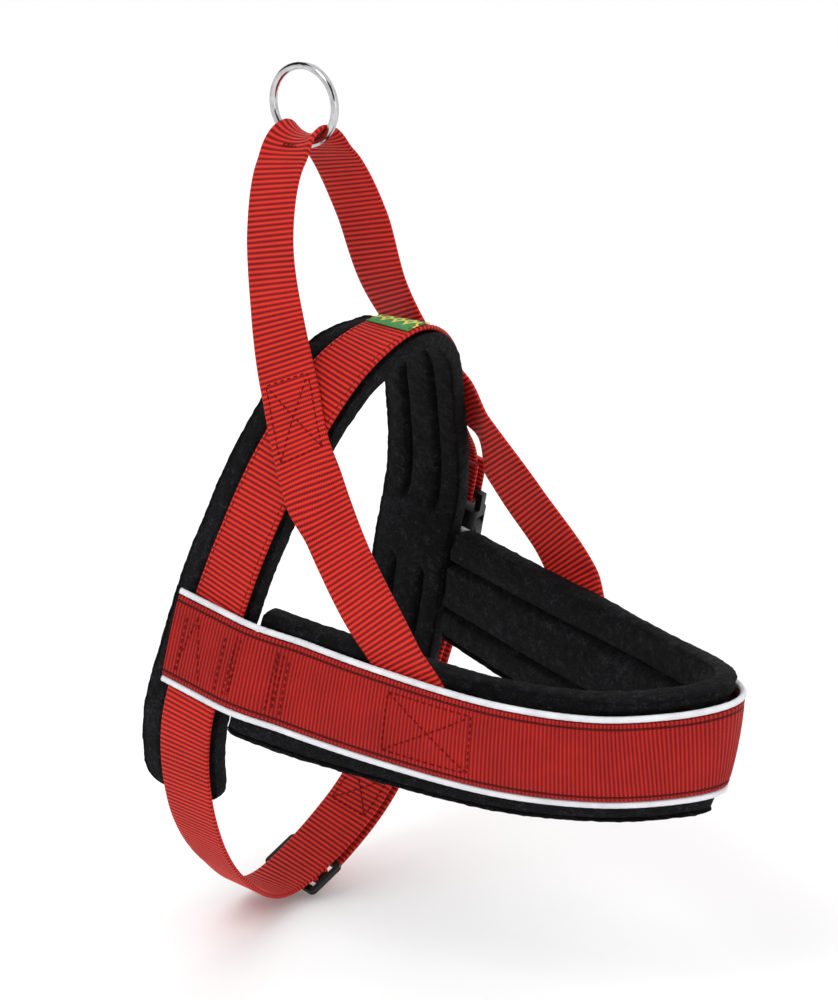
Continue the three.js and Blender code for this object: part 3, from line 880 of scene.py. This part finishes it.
def butted_stations(route, stations, sideways):
    """Stations for each column of the chest pad, whose ends press on the back pad."""
    coarse = np.linspace(0.2, 1.6, 57)
    starts = []
    for across in sideways:
        centre, _, direction, out = route.frames(coarse)
        points = centre + direction * across - out * 6
        beside = np.abs(place_on(girth_route, 2.8, 5.2, points)[1])
        clear = np.nonzero(beside > BACK_PAD_WIDTH / 2 - BUTT_PRESS)[0]
        starts.append(coarse[clear[0]])
    starts = np.array(starts)[None, :]
    middle = route.count / 2
    share = (middle - np.minimum(stations, 2 * middle - stations)) / (middle - stations[0])
    from_end = middle - share[:, None] * (middle - starts)
    return np.where(stations[:, None] < middle, from_end, 2 * middle - from_end)


def make_pad(name, route, span, size, offset, pressed, seam, replaces, end_radius=14,
             smooth_stretch=None, butted=False, kept_clear=None, middle=0.0,
             edge_lift=1.4):
    """A fleece pad: swollen between its seams, and pressed flat under the webbing."""
    stations, lengths = route.even_stations(*span, PAD_ROW)
    if butted:
        # A second row close to each end keeps the end's corners square.
        near_ends = [END_ROW, lengths[-1] - END_ROW]
        rows = np.interp(near_ends, lengths, stations)
        stations = np.sort(np.concatenate([stations, rows]))
        lengths = np.sort(np.concatenate([lengths, near_ends]))
    width, thickness = size
    sideways, outwards = pad_outline(width - 1.6, thickness - 1.2, seam)
    inner = outwards < 0
    share = end_share(lengths, end_radius)[:, None]
    if butted:
        share = 0.9 + 0.1 * share
    wide = sideways * share
    thick = outwards * (0.35 + 0.65 * share)
    # Sewn channels run along the inner face, and the webbing presses the outer one.
    channel = np.exp(-((np.abs(wide) - seam) / 1.25) ** 2) * inner
    if smooth_stretch:
        # The lining is not sewn down where the buckle sits on the other side.
        station = np.minimum(stations, 2 * APEX - stations)
        middle, reach = smooth_stretch
        away = np.abs(station - middle)[:, None] + np.abs(wide) * 0.004
        sewn = smoothstep(away, reach - 0.05, reach + 0.05)
        channel = channel * sewn
        thick = thick - inner * (1 - sewn) * 0.9 * (1 - (wide / width * 2) ** 4)
    thick = thick + channel * CHANNEL_DEPTH
    wide = wide + middle
    under = (1 - smoothstep(np.abs(wide), pressed - 2, pressed + 2)) * ~inner
    rolled = smoothstep(np.abs(wide), pressed, pressed + 2.5) * ~inner
    if kept_clear:
        station = np.minimum(stations, route.count - stations)[:, None]
        clear = np.exp(-((station - kept_clear) / 0.6) ** 4) * (sideways > 0)
        rolled = rolled * (1 - clear)
    thick = thick + rolled * edge_lift
    spread = stations[:, None] * np.ones_like(wide)
    if butted:
        spread = butted_stations(route, stations, sideways + middle)
    centre, _, across, out = route.frames(spread.ravel())
    height = (thick + offset(spread)).ravel()[:, None]
    points = centre + across * wide.ravel()[:, None] + out * height
    piece = make_object(name, points, tube_faces(len(lengths), wide.shape[1]))
    free = 1 - np.maximum(channel, under * 0.96)
    free[:2] = 0.2
    free[-2:] = 0.2
    inflate(piece, np.clip(free, 0, 1).ravel())
    smooth = piece.modifiers.new("smooth", "SUBSURF")
    smooth.levels = smooth.render_levels = 2
    pile = bpy.data.textures.new(f"{name}_pile", "CLOUDS")
    pile.noise_scale = 0.0035
    pile.noise_depth = 3
    lumps = piece.modifiers.new("pile", "DISPLACE")
    lumps.texture = pile
    lumps.strength = 0.0009
    lumps.mid_level = 0.62
    finish_piece(piece, "fleece", replaces)
    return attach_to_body(piece, "harness")


def chest_pad_offset(station):
    """The chest pad lies against the band at its ends, and further in between."""
    touching = -(WEB_THICKNESS / 2 + 2 * GAP + CHEST_PAD_THICKNESS / 2)
    from_end = np.minimum(station, 2 * CHEST_FRONT - station)
    return touching - SEWN_LAYER * smoothstep(from_end, 0.8, 2)


def make_pads():
    back_offset = -(WEB_THICKNESS / 2 + GAP + BACK_PAD_THICKNESS / 2)
    make_pad("back_pad", girth_route, (2.15, 13.85), (BACK_PAD_WIDTH, BACK_PAD_THICKNESS),
             lambda station: back_offset, WEB_WIDTH / 2, 7.5,
             ["back_pad_cover", "back_pad_foam"], smooth_stretch=(4.3, 0.42))
    make_pad("chest_pad", chest_route, (0.8, 2 * CHEST_FRONT - 0.8),
             (CHEST_PAD_WIDTH, CHEST_PAD_THICKNESS), chest_pad_offset, BAND_EDGE - 2, 12,
             ["chest_pad_cover", "chest_pad_foam"], end_radius=2.5, butted=True, kept_clear=3.3,
             middle=-CHEST_PAD_DROP, edge_lift=2.2)


# ---- stitches ----


def surface(route, stations, across, rise, lay=None):
    """Points on a strap's outer face, and the face's outward direction."""
    centre, _, sideways, out = route.frames(stations)
    rise = rise(across) if callable(rise) else np.full(len(across), float(rise))
    across, rise = across[:, None], rise[:, None]
    points = centre + sideways * across + out * rise
    if lay is not None:
        points = lay(points, rise[:, 0])
    return points, out


def stitch_points(route, path, rise, lay, length, space):
    """Ends of the stitches along a path of (station, across), with their normals."""
    path = np.asarray(path, float)
    fine = np.concatenate([np.linspace(a, b, 60) for a, b in zip(path[:-1], path[1:])])
    points, out = surface(route, fine[:, 0], fine[:, 1], rise, lay)
    steps = np.linalg.norm(np.diff(points, axis=0), axis=1)
    reached = np.concatenate([[0], np.cumsum(steps)])
    starts = np.arange(0, reached[-1] - length, length + space)

    def at(distance, rows):
        return np.column_stack([np.interp(distance, reached, rows[:, k]) for k in range(3)])

    return at(starts, points), at(starts + length, points), at(starts, out)


def make_stitches(name, runs, body="harness", blend=None, length=2.1, space=0.9, radius=0.33):
    """Small rounded stitches along several runs, as one piece."""
    points, faces = [], []
    turn = np.linspace(0, 2 * math.pi, 6, endpoint=False)
    rings = ((0.0, 0.35), (0.25, 1.0), (0.75, 1.0), (1.0, 0.35))
    for route, path, rise, lay in runs:
        for start, end, out in zip(*stitch_points(route, path, rise, lay, length, space)):
            along = unit(end - start)
            side = unit(np.cross(along, out))
            up = np.cross(side, along)
            first = len(points)
            for share, thick in rings:
                sink = -0.25 * (1 - thick)
                middle = start + (end - start) * share + up * sink
                for angle in turn:
                    points.append(middle + radius * thick
                                  * (side * math.cos(angle) + up * 0.8 * math.sin(angle)))
            stitch = tube_faces(len(rings), len(turn))
            faces.extend(tuple(first + index for index in face) for face in stitch)
    piece = make_object(name, points, faces)
    finish_piece(piece, "webbing", material=RED_THREAD)
    if blend:
        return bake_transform(piece)
    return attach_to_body(piece, body)


def zigzag(first, last, half, count):
    """A zigzag across a strap, between two stations."""
    stations = np.linspace(first, last, count)
    return [(station, half * (1 if k % 2 else -1)) for k, station in enumerate(stations)]


def boxed_cross(first, last, half):
    """A sewn box with a cross in it."""
    corners = [(first, -half), (last, -half), (last, half), (first, half), (first, -half)]
    return [corners, [(first, -half), (last, half)], [(first, half), (last, -half)]]


def both_sides(paths, middle):
    """The paths, and their mirror images on the dog's left."""
    mirrored = [[(2 * middle - station, across) for station, across in path] for path in paths]
    return paths + mirrored


BACK_STRAP_SEAM = 10.9           # the back strap's edge stitching, from its middle


def make_all_stitches():
    half_web = WEB_THICKNESS / 2

    def band_top(across):
        return half_web + band_relief(across) + 0.1

    edges = [[(0.08, side * GROOVE), (6, side * GROOVE), (11.92, side * GROOVE)]
             for side in (-1, 1)]
    runs = [(chest_route, path, band_top, lay_band) for path in edges]
    ends = [zigzag(0.1, 0.34, 13, 3), zigzag(0.58, 0.64, 13, 4), zigzag(0.92, 1.0, 13, 4)]
    ends += [[(station, -13), (station, 13)] for station in (0.12, 0.5, 1.04)]
    attach = boxed_cross(1.95, 2.75, 12.5)
    for path in both_sides(ends, CHEST_FRONT) + both_sides(attach, CHEST_FRONT):
        runs.append((chest_route, path, band_top, lay_band))
    make_stitches("band_stitches", runs)

    runs = []
    for across in (-BACK_STRAP_SEAM, BACK_STRAP_SEAM):
        for first, last in ((3.9, APEX - 0.25), (APEX + 0.25, 9.8)):
            runs.append((girth_route, [(first, across), (last, across)], half_web, None))
    half = LABEL_LENGTH / APEX_PACE - 0.02
    label = [[(APEX - half, -11), (APEX + half, -11)], [(APEX - half, 11), (APEX + half, 11)]]
    runs += [(girth_route, path, half_web + GAP + LABEL_THICKNESS, None) for path in label]
    make_stitches("back_strap_stitches", runs, radius=0.26)

    crossing = boxed_cross(3.25, 4.2, 9.5)
    runs = [(lead_route, path, half_web, lay_lead_strap)
            for path in both_sides(crossing, APEX)]
    make_stitches("crossing_stitches", runs)

    tacks = both_sides([zigzag(7.45, 7.52, 8.5, 16)], APEX)
    runs = [(lead_route, path, half_web, None) for path in tacks]
    make_stitches("ring_bar_tacks", runs, body="lead_loop", length=1.6, space=0.4)

    inner = [(girth_route, path, -half_web, None) for path in boxed_cross(14.55, 15.0, 9.5)]
    make_stitches("girth_stitches", inner)


# ---- ring, label and plastic ----


def make_ring():
    """The lead ring: round wire, with the slight swelling of its weld at the top."""
    rows, columns = 128, 20
    around = np.linspace(0, 2 * math.pi, rows, endpoint=False)
    section = np.linspace(0, 2 * math.pi, columns, endpoint=False)
    weld = np.exp(-((np.abs(around - math.pi / 2) / 0.06) ** 2))
    wire = RING_WIRE / 2 * (1 - 0.05 * weld)[:, None]
    radius = (RING_OUTER - RING_WIRE) / 2
    low, high = (np.array(corner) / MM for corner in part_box("lead_ring"))
    centre = (low + high) / 2
    distance = radius + wire * np.cos(section)
    points = np.stack([
        centre[0] + distance * np.cos(around)[:, None],
        centre[1] + wire * np.sin(section),
        centre[2] + distance * np.sin(around)[:, None],
    ], -1).reshape(-1, 3)
    faces = []
    for r in range(rows):
        for c in range(columns):
            d, s = (c + 1) % columns, (r + 1) % rows
            faces.append((r * columns + c, r * columns + d, s * columns + d, s * columns + c))
    ring = make_object("welded_ring", points, faces)
    ring.data.flip_normals()
    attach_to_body(finish_piece(ring, "ring_metal", ["lead_ring"]), "ring")


def make_label():
    half = LABEL_LENGTH / APEX_PACE
    stations, lengths = girth_route.even_stations(APEX - half, APEX + half, 0.5)
    label = ribbon("sewn_label", girth_route.frames(stations), lengths, width=WEB_WIDTH - 2,
                   thickness=LABEL_THICKNESS, rise=WEB_THICKNESS / 2 + GAP + LABEL_THICKNESS / 2,
                   rib=None)
    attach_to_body(finish_piece(label, "label", ["woven_label"]), "harness")


PLASTIC_NODES = ("buckle_female", "buckle_male", "buckle_prong_front", "buckle_prong_rear",
                 "adjuster_frame")


def dress_plastic():
    """The plastic pieces keep their shapes, with their edges eased."""
    for name in PLASTIC_NODES:
        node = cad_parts[name]
        node.data.materials.clear()
        node.data.materials.append(MATERIALS["plastic"])
        bevel = node.modifiers.new("eased", "BEVEL")
        bevel.width = 0.35 * MM
        bevel.segments = 2
        bevel.limit_method = "ANGLE"
        bevel.angle_limit = math.radians(35)
        bevel.harden_normals = True


make_straps()
make_girth_strap()
make_folds()
make_piping()
make_pads()
make_all_stitches()
make_ring()
make_label()
dress_plastic()

# ---- floor and light ----


FLOOR_SIZE = 40.0                # metres, so that its far edge is out of sight


def make_floor():
    low = Vector(CAD_BOX[0])
    material = Shading("pale_floor", roughness=0.9)
    material.shader.inputs["Base Color"].default_value = (0.97, 0.97, 0.97, 1)
    bpy.ops.mesh.primitive_plane_add(size=FLOOR_SIZE, location=(0, 0, low.z - 0.002))
    floor = bpy.context.object
    floor.name = "floor"
    floor.data.materials.append(material.material)


def add_light(name, place, size, power):
    data = bpy.data.lights.new(name, "AREA")
    data.size = size
    data.energy = power
    light = bpy.data.objects.new(name, data)
    bpy.context.scene.collection.objects.link(light)
    aim(light, Vector(place), CAMERA_TARGET)


def add_card(name, place, size):
    """A dark card which the polished ring reflects, and which does nothing else."""
    look = Shading(name, roughness=0.9)
    look.shader.inputs["Base Color"].default_value = (0.01, 0.01, 0.01, 1)
    bpy.ops.mesh.primitive_plane_add(size=size, location=place)
    card = bpy.context.object
    card.name = name
    aim(card, place, Vector(CAD_BOX[1]))
    card.data.materials.append(look.material)
    card.visible_camera = False
    card.visible_diffuse = False
    card.visible_shadow = False


def make_light():
    world = bpy.data.worlds.new("studio")
    world.use_nodes = True
    backdrop = world.node_tree.nodes["Background"]
    backdrop.inputs["Color"].default_value = (1, 1, 1, 1)
    backdrop.inputs["Strength"].default_value = 1.0
    bpy.context.scene.world = world
    add_light("key", (0.1, -1.3, 1.4), 0.8, 9)
    add_light("fill", (1.5, -0.6, 0.4), 1.2, 3)
    add_light("rim", (-1.1, 0.9, 0.9), 1.0, 3)
    add_card("near_card", (0.9, -0.75, 0.75), 1.1)
    add_card("far_card", (-0.8, -0.3, 0.7), 1.0)
    bpy.context.scene.view_settings.view_transform = "Standard"


make_floor()
make_light()
